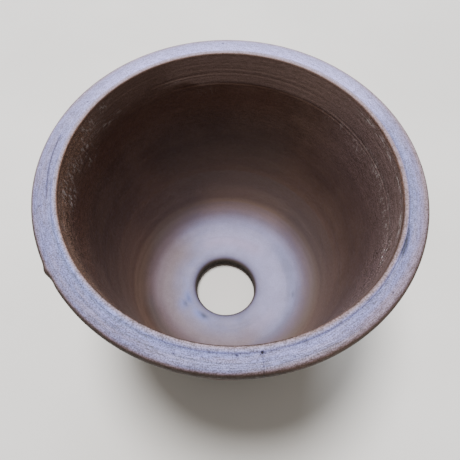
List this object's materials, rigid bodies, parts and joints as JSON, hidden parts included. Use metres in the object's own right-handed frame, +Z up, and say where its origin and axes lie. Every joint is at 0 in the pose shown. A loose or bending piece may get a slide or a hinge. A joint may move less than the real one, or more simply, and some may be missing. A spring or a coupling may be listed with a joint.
{
  "type": "plant pot",
  "caption": "Round wheel-thrown clay plant pot with a tapered wall, rolled rim, wide drain hole and foot ring.",
  "frame": {"origin": "on the pot's axis, level with the ground that the foot ring stands on", "axes": "+Z up along the pot's axis, through the mouth; +X and +Y are level, and the pot is the same all round"},
  "size_m": [0.12, 0.12, 0.101],
  "materials": {
    "clay": "unglazed matt dark-brown stoneware, with fine throwing lines and a cool grey bloom on upward faces"
  },
  "bodies": {
    "root": {"pot_body": "clay"}
  },
  "joints": []
}
